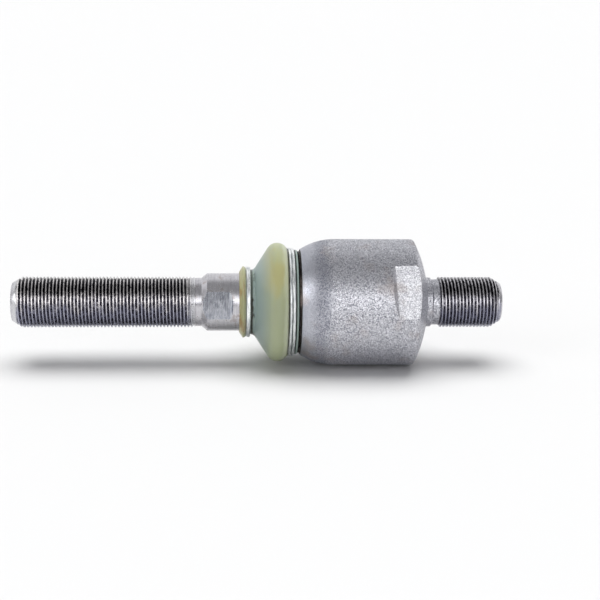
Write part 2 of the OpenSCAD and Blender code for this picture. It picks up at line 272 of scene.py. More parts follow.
def turned(outline: np.ndarray, angles: np.ndarray) -> np.ndarray:
    """Turn an outline about the X axis: (x, r cos a, r sin a).

    Args:
        outline: Rows of length and radius.
        angles: Angles of the columns in degrees.

    Returns:
        The grid of points.
    """
    return placed(np.repeat(outline[:, :1], len(angles), 1),
                  np.repeat(outline[:, 1:], len(angles), 1),
                  np.repeat(angles[None, :], len(outline), 0))


def placed(lengths: np.ndarray, radii: np.ndarray, angles: np.ndarray) -> np.ndarray:
    """Points at a length along the axis, a radius and an angle round it, all as grids."""
    turn = np.radians(angles)
    return np.stack([lengths, radii * np.cos(turn), radii * np.sin(turn)], axis=-1)


@dataclass(frozen=True)
class Flats:
    """A pair of spanner flats, and the columns of a grid that follow their edges."""

    width: float
    turn: float
    inside: int = 22
    outside: int = 42
    least: float = 10.0

    def columns(self, half_angles: np.ndarray) -> np.ndarray:
        """Angles round the axis: evenly over each flat and evenly between the two flats.

        Args:
            half_angles: Half angle of the flat in degrees, one for each row of the grid.

        Returns:
            Angles in degrees, rows by columns.
        """
        half = np.maximum(half_angles, self.least)[:, None]
        over = np.linspace(-1.0, 1.0, self.inside + 1)[None, :-1]
        between = np.linspace(0.0, 1.0, self.outside + 1)[None, :-1]
        one = np.concatenate([over * half, half + (180.0 - 2.0 * half) * between], axis=1)
        return np.concatenate([one, one + 180.0], axis=1) + self.turn

    @property
    def even(self) -> np.ndarray:
        """Angles of the columns where there is no flat."""
        return self.columns(np.zeros(1))[0]

    def aside(self, angles: np.ndarray) -> np.ndarray:
        """Angles in degrees from the middle of the nearer flat."""
        return (angles - self.turn + 90.0) % 180.0 - 90.0

    def cut(self, outline: np.ndarray,
            heights: np.ndarray) -> tuple[np.ndarray, np.ndarray, np.ndarray]:
        """Cut the flats: the radius is the lesser of the round and height / cos of the angle.

        Args:
            outline: Outline of the round as rows of length and radius.
            heights: Height of the flat above the axis, one for each row.

        Returns:
            Angles in degrees and radii of the grid, and whether each of its faces is on a flat.
        """
        rounds = outline[:, 1:]
        share = np.clip(heights[:, None] / np.maximum(rounds, NEARLY_NOTHING), -1.0, 1.0)
        angles = self.columns(np.degrees(np.arccos(share[:, 0])))
        cosine = np.maximum(np.cos(np.radians(self.aside(angles))), 0.05)
        radii = np.minimum(rounds, heights[:, None] / cosine)
        depth = rounds - radii
        depth = depth + np.roll(depth, -1, 1)
        return angles, radii, depth[:-1] + depth[1:] > 1e-3


@dataclass(frozen=True)
class Thread:
    """A right-hand metric thread, as rows of points that follow its helix."""

    radius: float = 11.0
    root: float = 10.08
    blank: float = 10.51
    pitch: float = 1.5
    offsets: tuple[float, ...] = (0.0, 0.2, 0.61, 0.68, 0.75, 0.82, 0.89, 1.3)
    depths: tuple[float, ...] = (0.0, 0.03, 0.84, 0.9, 0.92, 0.9, 0.84, 0.03)

    def grid(self, start: float, end: float, limit: np.ndarray, angles: np.ndarray,
             fade: Pair | None = None, tip: Pair | None = None) -> np.ndarray:
        """Surface of the thread: x = u + pitch * angle / 360, and the radius is a function of u.

        Points past an end are held on its ring, where the radius is the limit's. On a tip that
        was rolled, the radius is the limit's less the depth, which eases to nothing from a third
        of the way. Where the thread fades, the root rises to the blank at once and the crest
        falls to it late, by the share's cube.

        Args:
            start: First place along the axis.
            end: Last place along the axis.
            limit: Outline of length and radius that the thread never rises above.
            angles: Angles of the columns in degrees.
            fade: Places where the ridge starts and has ended fading into the blank.
            tip: Places where the grooves of a rolled tip start and have ended.

        Returns:
            The grid of points, whose last column meets the first a pitch further on.
        """
        turns = math.ceil((end - start) / self.pitch) + 2
        base = start - self.pitch * 1.5 + self.pitch * np.arange(turns)[:, None]
        u = (base + np.array(self.offsets)).reshape(-1)
        ridge = np.tile(self.radius - np.array(self.depths), turns)
        x = np.clip(u[:, None] + self.pitch * (angles - angles[0]) / 360.0, start, end)
        radii = np.repeat(ridge[:, None], len(angles), 1)
        if fade:
            share = smooth(x, *fade)
            share = np.where(radii > self.blank, share ** 3, share)
            radii = radii + (self.blank - radii) * share
        highest = np.interp(x, limit[:, 0], limit[:, 1])
        radii = np.minimum(radii, highest)
        if tip:
            share = 1.0 - smooth(x, (2.0 * tip[0] + tip[1]) / 3.0, tip[1])
            grooved = highest - (self.radius - ridge)[:, None] * share
            radii = np.where((x - tip[0]) * (tip[1] - tip[0]) < 0.0, radii, grooved)
        return placed(x, radii, np.repeat(angles[None, :], len(u), 0))

    @property
    def wrap(self) -> int:
        """Rows in one pitch."""
        return len(self.offsets)


def operator(operation: str, swapped: bool = False) -> Callable[["Socket", Any], "Socket"]:
    """Make a method that adds a Math node.

    Args:
        operation: Operation of the node.
        swapped: Whether the other term comes first.

    Returns:
        The method, which takes the socket and the other term.
    """
    def method(self: "Socket", other: Any) -> "Socket":
        """A Math node on this socket and the other term."""
        return self.math(operation, *((other, self) if swapped else (self, other)))

    return method


class Socket:
    """An output of a node, on which Python's operators add Math nodes."""

    def __init__(self, shader: "Shader", output: Any) -> None:
        """Keep the shader that the node is in, and the output."""
        self.shader = shader
        self.output = output

    def math(self, operation: str, *terms: Any) -> "Socket":
        """A Math node of that operation on the terms."""
        return self.shader.add("ShaderNodeMath", {"operation": operation}, dict(enumerate(terms)))

    def __abs__(self) -> "Socket":
        """Size of self without its sign."""
        return self.math("ABSOLUTE", self)

    __add__ = __radd__ = operator("ADD")
    __sub__ = operator("SUBTRACT")
    __rsub__ = operator("SUBTRACT", swapped=True)
    __mul__ = __rmul__ = operator("MULTIPLY")
    __pow__ = operator("POWER")
    most = operator("MAXIMUM")
    direction = operator("ARCTAN2")


class Shader:
    """A node tree that is filled by one method, with short names for what is used often."""

    def __init__(self, tree: Any) -> None:
        """Start from an empty tree."""
        self.tree = tree
        tree.nodes.clear()

    def add(self, kind: str, settings: dict[str, Any] | None = None,
            inputs: dict[Any, Any] | None = None, output: Any = 0) -> Socket | None:
        """Add a node.

        Args:
            kind: Type of the node.
            settings: Its settings, set first.
            inputs: Values or links of its inputs, by name or number.
            output: Name or number of the output to give back.

        Returns:
            That output, or None for a node without outputs.
        """
        node = self.tree.nodes.new(kind)
        for name, value in (settings or {}).items():
            setattr(node, name, value)
        for key, value in (inputs or {}).items():
            target = node.inputs[key]
            if isinstance(value, Socket):
                self.tree.links.new(value.output, target)
            elif target.type == "RGBA" and len(value) == 3:
                target.default_value = (*value, 1.0)
            else:
                target.default_value = value
        return Socket(self, node.outputs[output]) if node.outputs else None

    def place(self) -> Socket:
        """Object coordinates, in metres."""
        return self.add("ShaderNodeTexCoord", output="Object")

    def rest(self) -> Socket:
        """Place of each point before the piece bends, in metres, from its attribute."""
        return self.add("ShaderNodeAttribute", {"attribute_name": REST}, output="Vector")

    def parts(self, vector: Socket) -> tuple[Socket, Socket, Socket]:
        """Take a vector apart.

        Args:
            vector: The vector.

        Returns:
            Its X, Y and Z.
        """
        first = self.add("ShaderNodeSeparateXYZ", inputs={0: vector})
        outputs = first.output.node.outputs
        return tuple(Socket(self, outputs[axis]) for axis in range(3))

    def stretched(self, vector: Socket, factors: Triple) -> Socket:
        """A vector with its parts multiplied by the factors."""
        return self.add("ShaderNodeVectorMath", {"operation": "MULTIPLY"}, {0: vector, 1: factors})

    def noise(self, vector: Socket, size: float, detail: float = 2.0,
              roughness: float = 0.5) -> Socket:
        """Soft noise of 0 to 1 whose blotches are about that many millimetres across."""
        return self.add("ShaderNodeTexNoise", inputs={
            "Vector": vector, "Scale": 1.0 / (size * MM), "Detail": detail,
            "Roughness": roughness})

    def ramp(self, value: Socket, low: float, high: float, start: float = 0.0,
             end: float = 1.0) -> Socket:
        """Ease from start at low to end at high."""
        return self.add("ShaderNodeMapRange", {"interpolation_type": "SMOOTHSTEP"},
                        {0: value, 1: low, 2: high, 3: start, 4: end})

    def step(self, value: Socket, places: Pair, start: float = 0.0, end: float = 1.0) -> Socket:
        """Ease from start to end between two places in millimetres."""
        return self.ramp(value, places[0] * MM, places[1] * MM, start, end)

    def stripe(self, value: Socket, middle: float, reach: Pair, strength: float = 1.0) -> Socket:
        """Strength about a middle, easing to nothing over the reach to both sides."""
        return self.step(abs(value - middle * MM), reach, strength, 0.0)

    def window(self, value: Socket, rise: Pair, fall: Pair) -> Socket:
        """Ease from 0 to 1 over the rise and back to 0 over the fall."""
        return self.ramp(value, *rise) * self.ramp(value, *fall, 1.0, 0.0)

    def shifted(self, value: Socket, noise: Socket, size: float) -> Socket:
        """A place shifted by noise, by up to half of that many millimetres either way."""
        return value + (noise - 0.5) * (size * MM)

    def mix(self, share: Any, first: Any, second: Any) -> Socket:
        """Colour between the first, at share 0, and the second, at share 1."""
        return self.add("ShaderNodeMix", {"data_type": "RGBA"}, {0: share, 6: first, 7: second},
                        output=2)

    def bump(self, height: Socket, depth: float) -> Socket:
        """Normal of a surface with that height of 0 to 1, of that many millimetres."""
        return self.add("ShaderNodeBump", inputs={
            "Strength": 1.0, "Distance": depth * MM, "Height": height})


@dataclass(frozen=True)
class Finish:
    """A finish: a name and the way to fill a material with it."""

    name: str

    def material(self) -> bpy.types.Material:
        """Make the material.

        Returns:
            A new material with this finish's name.
        """
        material = bpy.data.materials.new(self.name)
        material.use_nodes = True
        shader = Shader(material.node_tree)
        surface = shader.add("ShaderNodeBsdfPrincipled", inputs=self.surface(shader))
        shader.add("ShaderNodeOutputMaterial", inputs={"Surface": surface})
        return material

    def surface(self, shader: Shader) -> dict[str, Any]:
        """Inputs of the Principled shader, by name."""
        raise NotImplementedError


@dataclass(frozen=True)
class BlastedSteel(Finish):
    """Forged steel after shot blasting: sparkling grain and faint scale, and a rolled mouth."""

    light: Triple = tone(226, 226, 231)
    dark: Triple = tone(140, 141, 151)
    stain: Triple = tone(172, 158, 152)
    rolled: Triple = tone(178, 180, 190)
    # bluish colour of painted shade
    shaded_blue: Triple = tone(112, 116, 134)
    grain: float = 0.3
    depth: float = 0.07
    roughness: float = 0.32
    cloud: float = 16.0
    mouth: float = 0.0
    mouth_edge: Pair = (-60.5, -52.5)
    shade_belt_x: float = -53.0
    shade_belt_reach: Pair = (0.5, 5.5)
    shade_belt: float = 0.42

    def surface(self, shader: Shader) -> dict[str, Any]:
        """Grain from two noises, soft scale, a smoother mouth and a bluish belt of painted shade
        where it ends.

        Args:
            shader: Shader that the nodes are added to.

        Returns:
            Inputs of the Principled shader, by name.
        """
        place = shader.place()
        x, _, _ = shader.parts(place)
        fine = shader.noise(place, self.grain, 1.0, 0.6)
        coarse = shader.noise(place, self.grain * 2.6, 2.0)
        cloud = shader.noise(place, self.cloud, 4.0, 0.6)
        grain = fine * 0.75 + coarse * 0.25
        along = shader.shifted(x, cloud, 6.0)
        rolled = shader.step(along, self.mouth_edge, self.mouth, 0.0)
        # painted shade: a dark bluish band round the housing where the smoother mouth ends
        shade_belt = shader.stripe(along, self.shade_belt_x, self.shade_belt_reach, self.mouth * self.shade_belt)
        pits = shader.ramp(grain, 0.4, 0.6, 1.0, 0.0) * (1.0 - rolled * 0.5)
        colour = shader.mix(pits, self.light, self.dark)
        colour = shader.mix(rolled, colour, self.rolled)
        colour = shader.mix(shade_belt, colour, self.shaded_blue)
        scale = shader.ramp(cloud, 0.52, 0.72, 0.0, 0.55)
        return {
            "Base Color": shader.mix(scale, colour, self.stain),
            "Metallic": 1.0,
            "Roughness": self.roughness + pits * 0.5 - rolled * 0.08,
            "Normal": shader.bump(grain, self.depth),
        }


@dataclass(frozen=True)
class CutSteel(Finish):
    """Turned or milled steel: fine marks in one direction, on a ground that varies softly."""

    light: Triple = tone(214, 213, 217)
    dark: Triple = tone(178, 176, 181)
    stain: Triple = tone(140, 124, 118)
    stained: float = 0.0
    marks: Marks = Marks.AROUND
    pitch: float = 0.16
    blotch: float = 3.5
    depth: float = 0.006
    roughness: float = 0.26

    def surface(self, shader: Shader) -> dict[str, Any]:
        """Marks are noise stretched along their direction, and blotches are soft noise.

        Args:
            shader: Shader that the nodes are added to.

        Returns:
            Inputs of the Principled shader, by name.
        """
        place = shader.place()
        marks = shader.noise(shader.stretched(place, self.marks.value), self.pitch, 3.0, 0.6)
        blotch = shader.noise(place, self.blotch, 4.0, 0.65)
        share = shader.ramp(marks * 0.55 + blotch * 0.45, 0.3, 0.7)
        colour = shader.mix(share, self.dark, self.light)
        stained = shader.ramp(blotch, 0.54, 0.66, 0.0, self.stained)
        return {
            "Base Color": shader.mix(stained, colour, self.stain),
            "Metallic": 1.0,
            "Roughness": self.roughness + (blotch - 0.5) * 0.18,
            "Normal": shader.bump(marks, self.depth),
        }


@dataclass(frozen=True)
class OiledThreadPaintedShade(Finish):
    """Rolled thread: worn crests over dark roots, with painted shade along its top and underside,
    and light tips.
    """

    crest: Triple = tone(221, 218, 218)
    shaded_blue: Triple = tone(160, 161, 175)
    root: Triple = tone(78, 76, 88)
    top_shade: Triple = tone(30, 29, 38)
    tip: Triple = tone(208, 208, 211)
    middle: float = -77.9
    half_length: float = 104.1
    cylinder: float = 100.6
    slope: float = 0.63
    runout: float = 29.2
    streaks: Triple = (1.0, 0.45, 0.45)
    patches: Triple = (1.0, 0.3, 0.3)
    top_shade_edge: Pair = (4.5, 6.8)
    top_shade_depth: float = 0.34
    crest_edge: Pair = (10.14, 10.64)
    underside_shade_edge: Pair = (-3.0, 4.0)

    def surface(self, shader: Shader) -> dict[str, Any]:
        """The share of crest grows with the height over the root; the top is painted darker and the
        underside bluer and darker, as shade.

        Both threads end equally far from the middle, so the cones of the tips, the light tips
        and the clean run-outs all follow the distance from it.

        Args:
            shader: Shader that the nodes are added to.

        Returns:
            Inputs of the Principled shader, by name.
        """
        place = shader.place()
        x, y, z = shader.parts(place)
        radius = (y * y + z * z) ** 0.5
        streak = shader.noise(shader.stretched(place, self.streaks), 0.8, 3.0, 0.7)
        patch = shader.noise(shader.stretched(place, self.patches), 1.4, 2.0)
        out = abs(x - self.middle * MM)
        radius = radius + (out - self.cylinder * MM).most(0.0) * self.slope
        # painted shade: roots darker and crests narrower along the top of the thread
        painted_top_shade = shader.step(shader.shifted(z, patch, 6.0), self.top_shade_edge)
        height = shader.shifted(radius, streak, 2.6) - painted_top_shade * (self.top_shade_depth * MM)
        clean = shader.step(out, (self.runout, self.runout + 4.5), 1.0, 0.0)
        worn = shader.step(height, self.crest_edge).most(clean)
        # painted shade: crests bluer and darker on the underside
        underside_shade = shader.step(shader.shifted(z, patch, 14.0), self.underside_shade_edge, 1.0, 0.0)
        metal = shader.mix(underside_shade, self.crest, self.shaded_blue)
        colour = shader.mix(worn, shader.mix(painted_top_shade, self.root, self.top_shade), metal)
        end = shader.step(out, (self.half_length, self.half_length + 1.2))
        end = end + shader.step(out, (self.runout, self.runout + 2.8), 0.9, 0.0)
        return {
            "Base Color": shader.mix(end, colour, self.tip),
            "Metallic": 1.0,
            "Roughness": 0.12 + streak * 0.3,
            "Normal": shader.bump(patch * 0.6 + streak * 0.4, 0.3),
        }


@dataclass(frozen=True)
class BootRubber(Finish):
    """Olive rubber that light passes into, yellower in a band along its upper side and greyer on
    the flank.
    """

    ochre: Triple = tone(172, 163, 104)
    green: Triple = tone(159, 166, 134)
    flank: Triple = tone(136, 152, 147)
    pale: Triple = tone(190, 196, 168)
    lip: Triple = tone(166, 161, 112)
    brown: Triple = tone(152, 126, 74)
    crease_shade: Triple = tone(38, 38, 30)
    clouds: Triple = (3.0, 0.9, 0.9)
    ochre_z: float = 17.0
    highlight_x: float = -67.5
    flank_x: float = -80.2
    mouth_edge: Pair = (-66.8, -65.8)
    lip_edge: Pair = (-84.5, -83.2)
    shade_patch_x: float = -81.5
    corners: tuple[Pair, ...] = ((-82.1, 0.7), (-66.6, 0.6), (-63.5, 0.5))

    def surface(self, shader: Shader) -> dict[str, Any]:
        """The tint follows the place along the boot; clouds of ochre, a painted highlight beside
        the large ring, and painted shade in the creases.

        Args:
            shader: Shader that the nodes are added to.

        Returns:
            Inputs of the Principled shader, by name.
        """
        place = shader.rest()
        x, _, z = shader.parts(place)
        cloud = shader.noise(shader.stretched(place, self.clouds), 9.0, 4.0, 0.6)
        pores = shader.noise(place, 0.35, 2.0)
        above = shader.shifted(abs(z - self.ochre_z * MM), cloud, 20.0)
        # ochre in a band about a height above the axis, along the upper side
        thick = shader.step(above, (1.0, 12.0), 0.6, 0.0)
        body = shader.mix(thick, self.green, self.ochre)
        # painted highlight: a pale band on the bulge beside the large ring, standing in for a
        # reflection
        edge = shader.stripe(shader.shifted(x, cloud, 2.0), self.highlight_x, (0.3, 1.9), 0.75)
        body = shader.mix(edge, body, self.pale)
        side = shader.stripe(x, self.flank_x, (0.8, 7.8)).most(shader.step(x, self.mouth_edge))
        lip = shader.mix(shader.ramp(cloud, 0.5, 0.64), self.lip, self.brown)
        body = shader.mix(shader.step(x, self.lip_edge, 1.0, 0.0), body, lip)
        # painted shade: dark patches by the small ring, and dark lines in the creases by both rings
        # and the lip
        painted_shade = shader.stripe(x, self.shade_patch_x, (0.3, 1.4), 0.8) * shader.ramp(cloud, 0.5, 0.58)
        for middle, reach in self.corners:
            painted_shade = painted_shade + shader.stripe(x, middle, (0.2, reach), 0.75)
        return {
            "Base Color": shader.mix(painted_shade, shader.mix(side, body, self.flank), self.crease_shade),
            "Roughness": 0.36 + (cloud - 0.5) * 0.12,
            "IOR": 1.48,
            "Subsurface Weight": 0.35,
            "Subsurface Radius": (0.8, 0.9, 0.45),
            "Subsurface Scale": 0.0025,
            "Normal": shader.bump(pores * 0.4 + cloud * 0.6, 0.03),
        }


@dataclass(frozen=True)
class ZincWire(Finish):
    """Bright zinc on spring wire, with drawn streaks and duller flecks."""

    light: Triple = tone(246, 248, 248)
    dark: Triple = tone(170, 176, 179)
    streaks: Triple = (1.0, 0.12, 0.12)

    def surface(self, shader: Shader) -> dict[str, Any]:
        """Flecks are noise that is long round the ring.

        Args:
            shader: Shader that the nodes are added to.

        Returns:
            Inputs of the Principled shader, by name.
        """
        place = shader.place()
        fleck = shader.noise(shader.stretched(place, self.streaks), 0.7, 3.0, 0.6)
        return {
            "Base Color": shader.mix(shader.ramp(fleck, 0.35, 0.7), self.light, self.dark),
            "Metallic": 0.75,
            "Roughness": 0.2 + fleck * 0.2,
            "Normal": shader.bump(fleck, 0.008),
        }


@dataclass(frozen=True)
class MouldedPlastic(Finish):
    """Natural white plastic with a little flow in it and a film of grease."""

    light: Triple = tone(232, 229, 218)
    dark: Triple = tone(206, 198, 176)

    def surface(self, shader: Shader) -> dict[str, Any]:
        """Clouds of a warmer white, and a fine skin.

        Args:
            shader: Shader that the nodes are added to.

        Returns:
            Inputs of the Principled shader, by name.
        """
        place = shader.place()
        cloud = shader.noise(place, 7.0, 3.0)
        skin = shader.noise(place, 0.4, 2.0)
        return {
            "Base Color": shader.mix(shader.ramp(cloud, 0.4, 0.7), self.light, self.dark),
            "Roughness": 0.32 + (cloud - 0.5) * 0.2,
            "Coat Weight": 0.3,
            "Normal": shader.bump(skin, 0.008),
        }


@dataclass(frozen=True)
class MattPaint(Finish):
    """Plain matt paint for the boards of the studio."""

    colour: Triple = (0.78, 0.78, 0.78)

    def surface(self, shader: Shader) -> dict[str, Any]:
        """One colour with hardly any gloss."""
        return {"Base Color": self.colour, "Roughness": 0.9, "Specular IOR Level": 0.1}


@dataclass
class Housing:
    """Socket of the ball joint, in one piece with its flats and its threaded stud."""

    ball_x: float = -46.0
    radius: float = 27.5
    seat_r: float = 21.0
    cavity_end: float = -21.95
    mouth_x: float = -67.0
    mouth_r: float = 19.13
    seat_end: float = 131.34
    collar_r: float = 20.38
    collar_groove_r: float = 19.48
    ridge_r: float = 22.2
    groove: Pair = (-66.05, -64.05)
    ridge_foot: float = -62.15
    ridge: Pair = (-61.95, -61.1)
    shoulder_x: float = -61.0
    shoulder_r: float = 23.05
    edge_x: float = -12.72
    edge_radius: float = 1.5
    dome_x: float = -65.13
    dome_radius: float = 60.0
    edge_angle: float = 26.37
    dome_foot: float = -6.1
    dome_end_r: float = 11.6
    stud_r: float = 10.75
    relief_r: float = 9.91
    relief_start: float = -4.2
    relief_corner: float = 0.8
    thread_start: float = -0.4
    thread_end: float = 26.5
    tip_x: float = 27.0
    tip_r: float = 8.3
    tip_length: float = 4.3
    centre_r: float = 3.0
    centre_depth: float = 5.196
    flat_start: float = -21.3
    flat_slope: float = 1.6
    flat_ease: float = 0.16
    flat_skew: float = 4.0
    flats: Flats = Flats(50.0, 156.0)
    thread: Thread = Thread()

    def flat_heights(self, u: np.ndarray) -> np.ndarray:
        """Height of the flats: half the width, then a sloped shoulder with a small radius.

        With s the share of the slope's length before the flat's start, the rise is the flat's
        depth times (s + sqrt(s^2 + e^2)) / 2, and nothing from 1.2 lengths along the flat on.

        Args:
            u: Places along the flat.

        Returns:
            Height above the axis at each place.
        """
        s = (self.flat_start - u) / self.flat_slope
        share = (s + np.sqrt(s * s + self.flat_ease ** 2)) / 2.0
        rise = (self.radius - self.flats.width / 2.0) * share
        return self.flats.width / 2.0 + np.where(s < -1.2, 0.0, rise)

    def inside(self) -> np.ndarray:
        """Outline of the cavity: its floor, the bore, the seat's arc and the cone of the mouth."""
        return joined(
            line((self.cavity_end, 0.0), (self.cavity_end, self.seat_r), 3),
            line((self.cavity_end, self.seat_r), (self.ball_x, self.seat_r), 4),
            arc((self.ball_x, 0.0), self.seat_r, 90.0, self.seat_end, 12),
            line(on_arc((self.ball_x, 0.0), self.seat_r, self.seat_end),
                 (self.mouth_x, self.mouth_r), 4),
        )

    def collar(self) -> np.ndarray:
        """Outline of the mouth, the grooved collar and the corner behind it, whose steel is painted
        dark as shade.
        """
        left, right = self.groove
        return rounded([
            (self.mouth_x, self.mouth_r),
            (self.mouth_x, self.collar_r),
            (left, self.collar_r),
            (left, self.collar_groove_r),
            (right, self.collar_groove_r),
            (right, self.collar_r),
            (self.ridge_foot, self.collar_r),
            (self.ridge[0], self.ridge_r),
            (self.ridge[1], self.ridge_r),
            (self.shoulder_x, self.shoulder_r - 0.2),
        ], 0.2, 3)

    def wall(self) -> np.ndarray:
        """Outline of the round wall and the dome, with rows where the flats need them.

        The wall starts on a ball of its own radius about the ball's centre, and the dome is
        x = middle + sqrt(R^2 - r^2).

        Returns:
            Rows of length and radius.
        """
        start = 180.0 - math.degrees(math.asin(self.shoulder_r / self.radius))
        slope = self.flat_start - self.flat_slope * np.array(
            [1.35, 1.1, 1.0, 0.9, 0.8, 0.65, 0.5, 0.35, 0.2, 0.1, 0.0, -0.12, -0.3, -0.6, -1.1])
        places = np.concatenate([[-42.0, -38.0, -34.0, -31.0], np.arange(-29.0, -23.6, 0.6),
                                 slope, [-19.0, -17.0, -15.0, -13.4]])
        radii = np.array([26.5, 26.3, 26.0, 25.7, 25.39, 25.25, 25.1, 25.0, 24.8, 24.4, 23.8, 23.0,
                          22.0, 20.5, 19.0, 17.0, 15.0, 13.2, 12.0])
        dome = np.column_stack([self.dome_x + np.sqrt(self.dome_radius ** 2 - radii ** 2), radii])
        return joined(
            arc((self.shoulder_x + 0.22, self.shoulder_r - 0.1), 0.22, 200.0, 120.0, 3),
            arc((self.ball_x, 0.0), self.radius, start - 0.6, 90.0, 30),
            np.column_stack([places, np.full(len(places), self.radius)]),
            arc((self.edge_x, self.radius - self.edge_radius), self.edge_radius, 90.0,
                self.edge_angle, 7),
            dome,
        )

    def stud_root(self) -> np.ndarray:
        """Outline of the stud's shoulder and of the relief groove."""
        corner = self.relief_corner
        return joined(
            rounded([(self.dome_x + math.sqrt(self.dome_radius ** 2 - self.dome_end_r ** 2),
                      self.dome_end_r),
                     (self.dome_foot, self.stud_r),
                     (self.relief_start + 0.35, self.stud_r),
                     (self.relief_start + corner, self.relief_r),
                     (-corner, self.relief_r)], 0.35, 4),
            arc((-corner, self.relief_r + corner), corner, 270.0, 299.0, 4),
        )

    def thread_limit(self) -> np.ndarray:
        """Outline that the stud's thread stays under: the relief's rise and the tip's cone."""
        corner = self.relief_corner
        return joined(
            arc((-corner, self.relief_r + corner), corner, 299.0, 330.0, 6),
            line((0.0, self.thread.radius), (self.tip_x - self.tip_length, self.thread.radius)),
            np.array([(self.tip_x, self.tip_r)]),
        )

    def skewed(self, u: np.ndarray, angles: np.ndarray) -> np.ndarray:
        """Places along the axis after the skew of the flats' sloped shoulder.

        The shift is tan(skew) times the distance aside, eased to nothing away from the shoulder.

        Args:
            u: Places along the axis, one for each row.
            angles: Angles of the grid in degrees.

        Returns:
            Places along the axis, rows by columns.
        """
        aside = self.flats.aside(angles)
        reach = self.radius * np.sin(np.radians(aside)) * (1.0 - smooth(np.abs(aside), 30.0, 80.0))
        near = 1.0 - smooth(np.abs(u - self.flat_start + self.flat_slope / 2.0), 1.6, 6.0)
        return u[:, None] + math.tan(math.radians(self.flat_skew)) * reach * near[:, None]

    def dress(self) -> bpy.types.Object:
        """Build the housing and finish it.

        Returns:
            The piece.
        """
        skin = Skin("housing_shell")
        limit = self.thread_limit()
        even = self.flats.even
        skin.add(turned(self.inside(), even), 2)
        # look 5: the collar's steel, painted nearly black as shade
        skin.add(turned(joined(self.inside()[-1:], self.collar()), even), 5)
        body = joined(self.collar()[-1:], self.wall(), self.stud_root(), limit[:1])
        heights = np.where(body[:, 1] > self.flats.width / 2.0 - 1.0,
                           self.flat_heights(body[:, 0]), NO_FLAT)
        angles, radii, flat = self.flats.cut(body, heights)
        skin.add(placed(self.skewed(body[:, 0], angles), radii, angles), np.where(flat, 1, 0))
        tip = (self.tip_x - self.tip_length, self.thread_end)
        skin.add(self.thread.grid(float(limit[0, 0]), self.thread_end, limit, even, tip=tip), 3,
                 self.thread.wrap)
        end_r = float(np.interp(self.thread_end, limit[:, 0], limit[:, 1]))
        skin.add(turned(joined(
            rounded([(self.thread_end, end_r), (self.tip_x, self.tip_r),
                     (self.tip_x, self.centre_r), (self.tip_x - self.centre_depth, 0.0)], 0.35)),
            even), 4)
        piece = skin.piece([
            BlastedSteel("blasted_forging", mouth=0.85).material(),
            BlastedSteel("blasted_flat", light=tone(246, 246, 249),
                         dark=tone(182, 182, 190)).material(),
            CutSteel("bored_steel").material(),
            OiledThreadPaintedShade("stud_thread_steel", crest=tone(200, 198, 202),
                        shaded_blue=tone(146, 147, 162)).material(),
            CutSteel("stud_tip_steel").material(),
            # painted shade: the collar's steel is nearly black
            BlastedSteel("collar_painted_shade", light=tone(64, 60, 58), dark=tone(18, 17, 18)).material(),
        ])
        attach(piece, Body.HOUSING.value)
        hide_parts("housing")
        return piece


